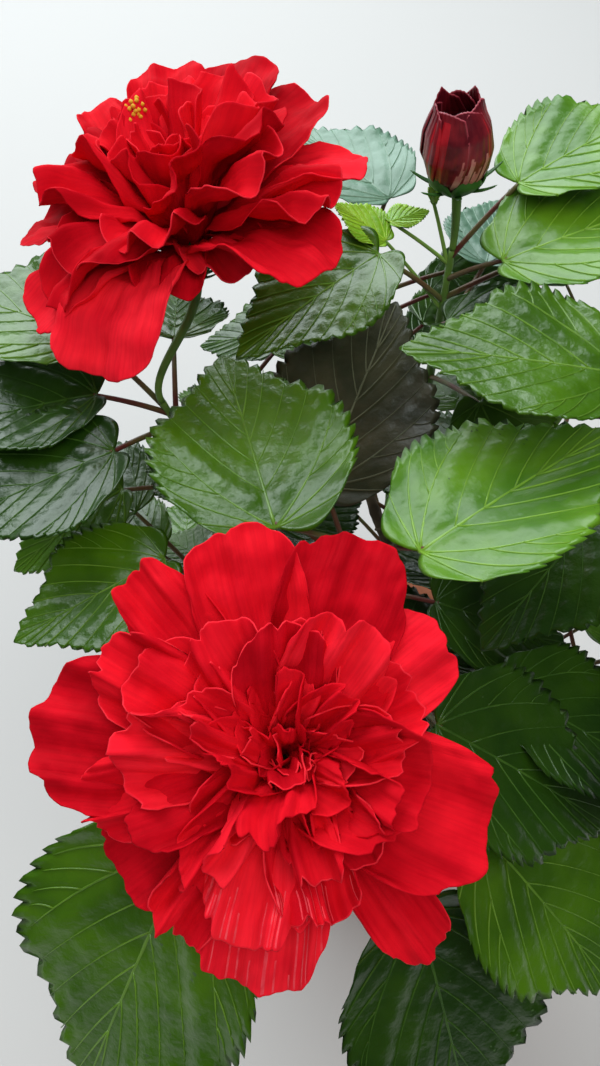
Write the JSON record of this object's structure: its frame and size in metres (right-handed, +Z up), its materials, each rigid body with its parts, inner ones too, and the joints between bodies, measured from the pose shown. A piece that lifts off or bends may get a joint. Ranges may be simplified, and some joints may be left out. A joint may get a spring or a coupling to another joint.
{
  "type": "potted hibiscus shrub",
  "caption": "Small double-flowered hibiscus shrub in a plain clay pot, with ruffled red blooms, a dark bud and glossy toothed leaves on forking boughs.",
  "frame": {"origin": "middle of the pot's flat underside, on the surface that the pot stands on", "axes": "+Z up; -Y is the front, the side that the larger, nearer bloom faces; +X to the right seen from the front"},
  "size_m": [0.3292, 0.345, 0.4558],
  "materials": {
    "clay": "unglazed fired clay",
    "soil": "loose damp compost",
    "bark": "thin grey-brown bark",
    "leaf": "glossy leaf",
    "petal": "soft ruffled petal",
    "bud": "soft wrapped petal"
  },
  "bodies": {
    "root": {"pot": "clay", "soil": "soil", "trunk": "bark", "bough_front": "bark", "bough_right": "bark", "bough_left": "bark", "bough_back": "bark", "bough_centre": "bark", "leaves_front_left": "leaf", "leaves_front_right": "leaf", "leaves_front_low": "leaf", "leaves_centre": "leaf", "leaves_left": "leaf", "leaves_back_left": "leaf", "leaves_back": "leaf", "leaves_bud_shoot": "leaf", "leaves_right": "leaf", "leaves_right_front": "leaf", "leaves_right_back": "leaf", "leaves_left_low": "leaf", "leaves_right_low": "leaf", "leaves_back_low": "leaf", "bloom_front": "petal", "bloom_back": "petal", "bud": "bud"}
  },
  "joints": []
}
